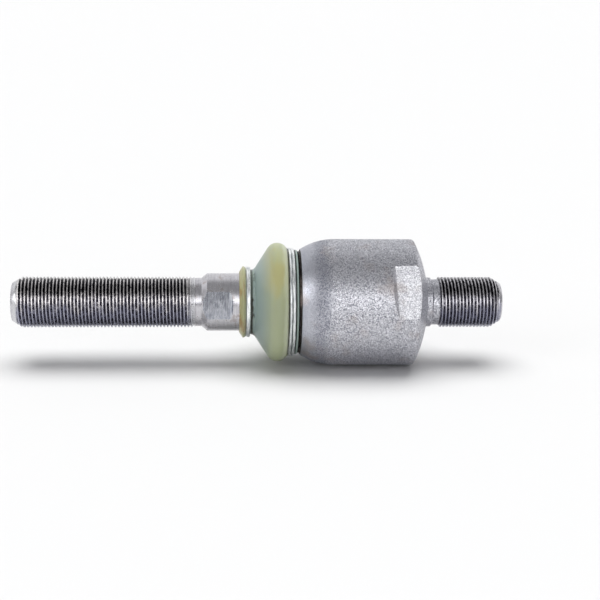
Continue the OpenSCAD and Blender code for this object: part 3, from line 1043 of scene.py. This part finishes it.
@dataclass
class Rod:
    """Rod with its thread, its land with two flats, its neck and its ball."""

    tip_x: float = -185.0
    tip_r: float = 8.3
    tip_length: float = 4.3
    centre_r: float = 3.0
    centre_depth: float = 5.196
    thread_start: float = -183.9
    thread_end: float = -106.25
    groove_end: float = -182.9
    fade: Pair = (-112.5, -104.0)
    runout_x: float = -106.6
    cone_start: float = -103.6
    land_start: float = -101.2
    land_r: float = 12.5
    flat_end: float = -92.2
    runout: float = 2.2
    land_rest: float = -88.4
    bead: Pair = (-84.5, -82.5)
    bead_depth: float = 0.8
    land_end: float = -80.3
    land_chamfer: float = 0.8
    neck_start: float = -73.5
    neck_r: float = 8.0
    land_fillet: float = 6.0
    ball_x: float = -46.0
    ball_r: float = 17.5
    ball_flat_r: float = 5.0
    neck_fillet: Triple = (-62.14, 9.0, 1.0)
    fillet_angle: float = 29.15
    flats: Flats = Flats(22.0, 173.5)
    thread: Thread = Thread()

    def flat_heights(self, x: np.ndarray) -> np.ndarray:
        """Height of the flats: half the width, then the cutter's arc R - sqrt(R^2 - t^2).

        Args:
            x: Places along the axis.

        Returns:
            Height above the axis at each place.
        """
        t = np.clip(x - self.flat_end, 0.0, self.runout)
        height = self.flats.width / 2.0 + self.runout - np.sqrt(self.runout ** 2 - t * t)
        return np.where((x < self.cone_start) | (x > self.flat_end + self.runout), NO_FLAT, height)

    def land(self) -> np.ndarray:
        """Outline of the plain stretch, the cone and the land, with rows that the flats need.

        Returns:
            Rows of length and radius.
        """
        rise = (self.land_r - self.thread.blank) / (self.land_start - self.cone_start)
        radii = np.array([self.flats.width / 2.0, 11.17, 11.4, 11.65, 11.95, 12.2])
        cone = np.column_stack([self.cone_start + (radii - self.thread.blank) / rise, radii])
        steps = self.runout * np.array([0.0, 0.2, 0.38, 0.53, 0.66, 0.77, 0.86, 0.914, 0.9485])
        ends = self.flat_end + steps
        return joined(
            line((self.thread_end, self.thread.blank), (self.cone_start, self.thread.blank), 3),
            cone,
            line((self.land_start, self.land_r), (self.flat_end, self.land_r), 8),
            np.column_stack([ends, np.full(len(ends), self.land_r)]),
        )

    def neck(self) -> np.ndarray:
        """Outline of the land's far end, the neck and the ball: lines, fillets and the ball's arc.

        Returns:
            Rows of length and radius.
        """
        left, right = self.bead
        chamfer, fillet = self.land_chamfer, self.land_fillet
        start = 180.0 + math.degrees(math.asin((self.neck_r + fillet - self.land_r + chamfer)
                                               / fillet))
        centre = (self.neck_start, self.neck_r + fillet)
        x, r, small = self.neck_fillet
        flat_angle = math.asin(self.ball_flat_r / self.ball_r)
        flat_x = self.ball_x + self.ball_r * math.cos(flat_angle)
        return joined(
            rounded([(self.land_rest, self.land_r), (left, self.land_r),
                     (left, self.land_r - self.bead_depth), (right, self.land_r - self.bead_depth),
                     (right, self.land_r), (self.land_end, self.land_r),
                     on_arc(centre, fillet, start)], 0.2, 3),
            arc(centre, fillet, start, 270.0, 10),
            arc((x, r), small, 270.0, 360.0 - self.fillet_angle, 5),
            arc((self.ball_x, 0.0), self.ball_r, 180.0 - self.fillet_angle,
                math.degrees(flat_angle), 40),
            line((flat_x, self.ball_flat_r), (flat_x, 0.0), 2),
        )

    def dress(self) -> bpy.types.Object:
        """Build the rod and finish it.

        Returns:
            The piece.
        """
        skin = Skin("rod_and_ball")
        limit = joined(np.array([(self.tip_x, self.tip_r),
                                 (self.tip_x + self.tip_length, self.thread.radius),
                                 (self.thread_end - 0.4, self.thread.radius),
                                 (self.thread_end, self.thread.blank)]))
        even = self.flats.even
        start_r = float(np.interp(self.thread_start, limit[:, 0], limit[:, 1]))
        skin.add(turned(rounded([(self.tip_x + self.centre_depth, 0.0),
                                 (self.tip_x, self.centre_r), (self.tip_x, self.tip_r),
                                 (self.thread_start, start_r)], 0.35), even), 3)
        tip = (self.tip_x + self.tip_length, self.groove_end)
        grid = self.thread.grid(self.thread_start, self.thread_end, limit, even, self.fade, tip)
        skin.add(grid, np.where(grid[:-1, :, 0] > self.runout_x, 1, 0), self.thread.wrap)
        body = joined(self.land(), self.neck()[:1])
        angles, radii, flat = self.flats.cut(body, self.flat_heights(body[:, 0]))
        skin.add(placed(np.repeat(body[:, :1], angles.shape[1], 1), radii, angles),
                 np.where(flat, 2, 1))
        skin.add(turned(self.neck(), even), 1)
        piece = skin.piece([
            OiledThreadPaintedShade("rod_thread_steel", cylinder=102.8).material(),
            CutSteel("turned_steel", stained=0.5).material(),
            CutSteel("milled_flat", light=tone(216, 218, 224), dark=tone(136, 140, 152),
                     marks=Marks.CROSSED, pitch=0.45, depth=0.02, roughness=0.2).material(),
            CutSteel("rod_tip_steel").material(),
        ])
        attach(piece, Body.ROD.value)
        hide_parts("ball_stud")
        return piece


@dataclass
class DustBoot:
    """Rubber boot, as a large part and a small part that share a ring where they meet."""

    bulge: Pair = (-70.85, 20.91)
    bulge_radius: float = 4.9
    foot: Pair = (-82.4, 16.6)
    foot_radius: float = 2.5
    wall: float = 1.6
    flank_angle: float = 58.5
    seam_angle: float = 118.0
    mouth_bore: float = 20.63
    mouth_groove_r: float = 22.08
    mouth_groove: Pair = (-66.58, -63.3)
    mouth_wall_angle: float = 29.3
    mouth_lip: float = 0.75
    mouth_end: float = -62.3
    mouth_start: float = -67.25
    mouth_bead: Pair = (-65.85, -64.25)
    mouth_bead_r: float = 19.73
    neck_bore: float = 12.75
    neck_groove_r: float = 13.9
    neck_groove: Pair = (-84.6, -82.4)
    neck_lip_r: float = 15.65
    neck_bead: Pair = (-84.3, -82.7)
    neck_bead_r: float = 11.95
    tip_x: float = -87.35
    columns: int = 128
    sideways_ease: Pair = (-67.4, -72.4)
    up_down_ease: Pair = (-73.2, -80.0)

    def bulge_arc(self, radius: float, start: float, end: float, steps: int) -> np.ndarray:
        """Arc of the bulge, with one fine step of 0.6 degrees at the seam.

        Args:
            radius: Radius of the arc.
            start: First angle in degrees.
            end: Last angle in degrees; this one or the first is the seam's.
            steps: Number of the other steps.

        Returns:
            Rows of length and radius.
        """
        fine = math.copysign(0.6, start - end)
        if start == self.seam_angle:
            return joined(arc(self.bulge, radius, start, start - fine, 1),
                          arc(self.bulge, radius, start - fine, end, steps))
        return joined(arc(self.bulge, radius, start, end + fine, steps),
                      arc(self.bulge, radius, end + fine, end, 1))

    def large_outline(self) -> np.ndarray:
        """Closed outline from the seam over the bulge to the mouth and back inside.

        Returns:
            Rows of length and radius.
        """
        left, right = self.mouth_groove
        bead_left, bead_right = self.mouth_bead
        lip = self.mouth_groove_r + self.mouth_lip
        outer = self.bulge_arc(self.bulge_radius, self.seam_angle, self.mouth_wall_angle, 24)
        inner = self.bulge_arc(self.bulge_radius - self.wall, 0.0, self.seam_angle, 20)
        mouth = rounded([
            tuple(outer[-1]), (left, self.mouth_groove_r), (right, self.mouth_groove_r),
            (right, lip), (self.mouth_end - 0.2, lip), (self.mouth_end, self.mouth_groove_r),
            (self.mouth_end, self.mouth_bore), (bead_right, self.mouth_bore),
            (bead_right, self.mouth_bead_r), (bead_left, self.mouth_bead_r),
            (bead_left, self.mouth_bore), (self.mouth_start, self.mouth_bore),
            tuple(inner[0]),
        ], 0.28, 4)
        return np.concatenate([joined(outer, mouth, inner), outer[:1]])

    def small_outline(self) -> np.ndarray:
        """Closed outline from the small end up the flank to the seam and back inside.

        Returns:
            Rows of length and radius.
        """
        left, right = self.neck_groove
        bead_left, bead_right = self.neck_bead
        lean = self.flank_angle
        inner_radius = self.foot_radius + self.wall
        start = math.degrees(math.acos((self.foot[1] - self.neck_bore) / inner_radius))
        lips = rounded([
            (bead_left, self.neck_bore), (self.tip_x, self.neck_bore),
            (self.tip_x, self.neck_bore + 0.4), (self.tip_x + 1.6, self.neck_lip_r),
            (left, self.neck_lip_r - 0.5), (left, self.neck_groove_r),
            (right, self.neck_groove_r), (self.foot[0], self.foot[1] - self.foot_radius),
        ], 0.28, 4)
        outer = joined(
            lips[:-1],
            arc(self.foot, self.foot_radius, 271.0, 270.0 + lean, 10),
            line(on_arc(self.foot, self.foot_radius, 270.0 + lean),
                 on_arc(self.bulge, self.bulge_radius, 90.0 + lean), 8),
            self.bulge_arc(self.bulge_radius, 90.0 + lean, self.seam_angle, 10),
        )
        inner = joined(
            self.bulge_arc(self.bulge_radius - self.wall, self.seam_angle, 90.0 + lean, 8),
            line(on_arc(self.bulge, self.bulge_radius - self.wall, 90.0 + lean),
                 on_arc(self.foot, inner_radius, 270.0 + lean), 8),
            arc(self.foot, inner_radius, 270.0 + lean, 270.0 + start, 10),
            rounded([(self.foot[0] + inner_radius * math.sin(math.radians(start)),
                      self.neck_bore),
                     (bead_right, self.neck_bore), (bead_right, self.neck_bead_r),
                     (bead_left, self.neck_bead_r), (bead_left, self.neck_bore)], 0.25, 3),
        )
        return np.concatenate([joined(outer, inner), outer[:1]])

    def part(self, name: str, outline: np.ndarray, rubber: bpy.types.Material) -> bpy.types.Object:
        """Turn a closed outline into a piece, with the place of each point kept in an attribute.

        Args:
            name: Name of the piece.
            outline: Closed outline.
            rubber: Its material.

        Returns:
            The piece.
        """
        skin = Skin(name)
        angles = np.arange(self.columns) * 360.0 / self.columns
        skin.add(turned(outline, angles))
        piece = skin.piece([rubber], 40.0)
        places = np.empty(3 * len(piece.data.vertices), np.float32)
        piece.data.vertices.foreach_get("co", places)
        piece.data.attributes.new(REST, "FLOAT_VECTOR", "POINT").data.foreach_set("vector", places)
        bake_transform(piece)
        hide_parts("dust_boot")
        return piece

    def dress(self) -> list[bpy.types.Object]:
        """Build both parts and finish them.

        Returns:
            The large part and the small one.
        """
        rubber = BootRubber("olive_rubber").material()
        return [
            self.part("boot_bulge", self.large_outline(), rubber),
            self.part("boot_flank", self.small_outline(), rubber),
        ]


@dataclass
class ClampRings:
    """Wire rings of the boot: two turns with a bent tail at the large end, a band at the small."""

    wire_r: float = 0.625
    large_x: float = -65.05
    large_r: float = 22.905
    gap: float = 0.2
    top: float = 75.0
    turns: float = 1.88
    cross: float = 0.9
    steps: int = 300
    sides: int = 14
    tail: float = 3.4
    hook: float = 1.2
    small_x: float = -83.5
    small_r: float = 14.72
    small_half: Pair = (0.9, 0.62)
    small_columns: int = 128

    def wire_path(self) -> tuple[np.ndarray, np.ndarray, np.ndarray]:
        """Centre line of the wire: the tail along -X, a bend, then nearly two turns.

        A turn's lane is half a wire and half a gap aside of the middle, the gap grows towards
        the bottom, and the lane changes from one side to the other by a smooth step.

        Returns:
            Lengths along the axis, radii and angles.
        """
        turn = np.linspace(0.0, self.turns, self.steps)
        angle = self.top + 3.0 + 360.0 * turn
        apart = self.wire_r + self.gap * (1.0 - 0.8 * np.sin(np.radians(angle))) / 2.0
        lane = apart * (2.0 * smooth(turn, self.cross - 0.07, self.cross + 0.07) - 1.0)
        bend = np.radians(np.linspace(0.0, 90.0, 9))[:-1]
        start, hook = self.large_x + lane[0], self.hook
        tail_x = np.concatenate([[start - self.tail, start - (self.tail + hook) / 2.0],
                                 start - hook + hook * np.sin(bend)])
        tail_aside = np.concatenate([[-hook, -hook], -hook * np.cos(bend)])
        lengths = np.concatenate([tail_x, self.large_x + lane])
        angles = np.concatenate([angle[0] + np.degrees(tail_aside / self.large_r), angle])
        return lengths, np.full(len(lengths), self.large_r), angles

    def wire(self) -> np.ndarray:
        """Tube round the centre line: centre + r (cos b * outward + sin b * beside), round ends.

        Returns:
            The grid, with rows round the wire and columns along it turned to close the tube.
        """
        lengths, radii, angles = self.wire_path()
        centre = placed(lengths, radii, angles)
        along = np.gradient(centre, axis=0)
        along /= np.linalg.norm(along, axis=1, keepdims=True)
        turn = np.radians(angles)
        outward = np.stack([np.zeros_like(turn), np.cos(turn), np.sin(turn)], axis=1)
        beside = np.cross(along, outward)
        beside /= np.linalg.norm(beside, axis=1, keepdims=True)
        caps = np.radians(np.array([90.0, 70.0, 45.0, 22.0]))
        first = centre[0] - along[0] * self.wire_r * np.sin(caps)[:, None]
        last = centre[-1] + along[-1] * self.wire_r * np.sin(caps[::-1])[:, None]
        centre = np.concatenate([first, centre, last])
        ends = ((len(caps), len(caps)), (0, 0))
        outward, beside = np.pad(outward, ends, "edge"), np.pad(beside, ends, "edge")
        width = np.concatenate([np.cos(caps), np.ones(len(lengths)), np.cos(caps[::-1])])
        around = np.radians(np.arange(self.sides) * 360.0 / self.sides)
        ring = (np.cos(around)[None, :, None] * outward[:, None, :]
                + np.sin(around)[None, :, None] * beside[:, None, :])
        return centre[:, None, :] + self.wire_r * width[:, None, None] * ring

    def band(self) -> np.ndarray:
        """Closed outline of the small ring: a rounded rectangle, as a superellipse of power 3.

        Returns:
            Rows of length and radius.
        """
        turn = np.radians(np.linspace(180.0, -180.0, 29))
        wide, thick = self.small_half
        cosine, sine = np.cos(turn), np.sin(turn)
        return np.column_stack([
            self.small_x + wide * np.sign(cosine) * np.abs(cosine) ** (2.0 / 3.0),
            self.small_r + thick * np.sign(sine) * np.abs(sine) ** (2.0 / 3.0)])

    def dress(self) -> list[bpy.types.Object]:
        """Build both rings and finish them.

        Returns:
            The large ring and the small one.
        """
        zinc = ZincWire("zinc_wire").material()
        wire, band = Skin("large_ring_wire"), Skin("small_ring_band")
        wire.add(self.wire())
        band.add(turned(self.band(), np.arange(self.small_columns) * 360.0 / self.small_columns))
        pieces = []
        for skin, body, node in ((wire, Body.HOUSING, "large_clamp_ring"),
                                 (band, Body.BOOT_NECK, "small_clamp_ring")):
            piece = skin.piece([zinc], 60.0)
            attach(piece, body.value)
            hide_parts(node)
            pieces.append(piece)
        return pieces


@dataclass
class InnerParts:
    """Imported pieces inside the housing, which keep their solids and get their finishes."""

    plastic: tuple[str, ...] = ("front_seat", "rear_seat")
    steel: tuple[str, ...] = ("pressure_disc", "disc_spring")

    def dress(self, nodes: dict[str, bpy.types.Object]) -> None:
        """Give each piece its material.

        Args:
            nodes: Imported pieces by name.
        """
        white = MouldedPlastic("seat_plastic").material()
        blued = CutSteel("blued_sheet", light=tone(120, 124, 138), dark=tone(82, 86, 104),
                         marks=Marks.NONE, pitch=0.7, roughness=0.3).material()
        for names, material in ((self.plastic, white), (self.steel, blued)):
            for name in names:
                mesh = nodes[name].data
                mesh.materials.clear()
                mesh.materials.append(material)


@dataclass
class Studio:
    """Pale floor, soft light and the camera at the photo's angle."""

    floor_z: float = -27.7
    floor_half: float = 4000.0
    card_x: Pair = (-128.0, -80.0)
    card_y: float = -170.0
    card_z: Pair = (-6.5, 34.0)
    distance: float = 620.0
    elevation: float = 15.0
    foot_x: float = -98.0
    aim_x: float = -60.75
    aim_up: float = 0.83
    lens: float = 85.3
    room: float = 0.39
    strip: float = 1.95
    back: float = 0.62
    lobe: float = 2.7
    lobe_at: Triple = (-0.8, -0.43, 0.42)
    seen: float = 0.97
    held_back: float = 0.6
    lamp_angle: float = 60.0
    lamp_lean: float = -5.0
    lamp_energy: float = 3.0

    def sky(self) -> None:
        """World light by direction, which the camera sees as an even white.

        A dim room has a strip in front, a darker column left of it, a bright lobe from the left
        and a bright back wall. Diffuse light is weaker than what the steel mirrors.
        """
        world = bpy.data.worlds.new("studio_light")
        bpy.context.scene.world = world
        world.use_nodes = True
        shader = Shader(world.node_tree)
        direction = shader.add("ShaderNodeTexCoord", output="Generated")
        x, y, z = shader.parts(direction)
        height = z.direction(0.0 - y) * math.degrees(1.0)
        strip = shader.window(height, (-4.0, 8.0), (22.0, 50.0))
        strip = strip * shader.window(x, (-0.36, -0.14), (0.35, 0.65))
        back = shader.ramp(height, 95.0, 125.0) + shader.ramp(height, -100.0, -90.0, 1.0, 0.0)
        aside = shader.add("ShaderNodeVectorMath", {"operation": "DOT_PRODUCT"},
                           {0: direction, 1: self.lobe_at}, output="Value")
        lobe = shader.ramp(aside, 0.93, 0.985)
        column = shader.ramp(abs(x + 0.42), 0.06, 0.22, 0.16, 0.0)
        light = self.room - column + strip * self.strip + back * self.back + lobe * self.lobe
        seen = shader.add("ShaderNodeLightPath", output="Is Camera Ray")
        soft = shader.add("ShaderNodeLightPath", output="Is Diffuse Ray")
        strength = seen * self.seen + (1.0 - seen) * light * (1.0 - soft * self.held_back)
        background = shader.add("ShaderNodeBackground", inputs={
            "Color": (0.985, 0.99, 1.0), "Strength": strength})
        shader.add("ShaderNodeOutputWorld", inputs={"Surface": background})

    def board(self, paint: MattPaint, corners: list[Triple], seen: bool = True) -> None:
        """Make a flat board.

        Args:
            paint: Its finish, which also gives its name.
            corners: Its four corners in order.
            seen: Whether anything but a reflection shows it.
        """
        mesh = bpy.data.meshes.new(paint.name)
        mesh.from_pydata((np.array(corners) * MM).tolist(), [], [(0, 1, 2, 3)])
        mesh.materials.append(paint.material())
        board = bpy.data.objects.new(paint.name, mesh)
        bpy.context.scene.collection.objects.link(board)
        board.visible_camera = board.visible_diffuse = seen
        board.visible_shadow = board.visible_transmission = seen

    def boards(self) -> None:
        """Pale floor, and a dim card in front that only reflections see."""
        wide, (left, right), (low, high) = self.floor_half, self.card_x, self.card_z
        self.board(MattPaint("pale_floor"), [
            (-wide, -wide, self.floor_z), (wide, -wide, self.floor_z),
            (wide, wide, self.floor_z), (-wide, wide, self.floor_z)])
        self.board(MattPaint("dim_card", colour=(0.2, 0.2, 0.21)), [
            (left, self.card_y, low), (right, self.card_y, low),
            (right, self.card_y, high), (left, self.card_y, high)], seen=False)

    def lamps(self) -> None:
        """A wide soft light overhead that polished steel doesn't mirror."""
        data = bpy.data.lights.new("soft_top", "SUN")
        data.angle = math.radians(self.lamp_angle)
        data.energy = self.lamp_energy
        lamp = bpy.data.objects.new("soft_top", data)
        lamp.rotation_euler = (math.radians(self.lamp_lean), 0.0, 0.0)
        lamp.visible_glossy = False
        bpy.context.scene.collection.objects.link(lamp)

    def camera(self) -> None:
        """Camera at the photo's distance and height, rolled until the X axis lies level."""
        lift = math.radians(self.elevation)
        data = bpy.data.cameras.new("photo_camera")
        data.lens = self.lens
        data.sensor_width = 36.0
        data.clip_start, data.clip_end = 0.01, 50.0
        camera = bpy.data.objects.new("photo_camera", data)
        position = Vector((self.foot_x, -self.distance * math.cos(lift),
                           self.distance * math.sin(lift))) * MM
        target = Vector((self.aim_x, self.aim_up * math.sin(lift),
                         self.aim_up * math.cos(lift))) * MM
        back = (position - target).normalized()
        right = (Vector((1.0, 0.0, 0.0)) - back * back.x).normalized()
        turn = Matrix((right, back.cross(right), back)).transposed()
        camera.matrix_world = Matrix.Translation(position) @ turn.to_4x4()
        bpy.context.scene.collection.objects.link(camera)
        bpy.context.scene.camera = camera

    def build(self) -> None:
        """Build the studio."""
        bpy.context.scene.view_settings.view_transform = "Standard"
        self.camera()
        self.sky()
        self.boards()
        self.lamps()


def corners(box: Any) -> list[list[float]]:
    """The two corners of a box as plain lists."""
    return [[float(value) for value in corner] for corner in box]


def main() -> None:
    """Load the frame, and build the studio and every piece."""
    logging.basicConfig(level=logging.INFO, format="%(name)s: %(message)s")
    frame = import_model()
    Studio().build()
    pieces = [Housing().dress(), Rod().dress(), *DustBoot().dress(), *ClampRings().dress()]
    for piece in pieces:
        LOG.info("%s: %d faces", piece.name, len(piece.data.polygons))
    InnerParts().dress(frame["nodes"])


if __name__ == "__main__":
    main()
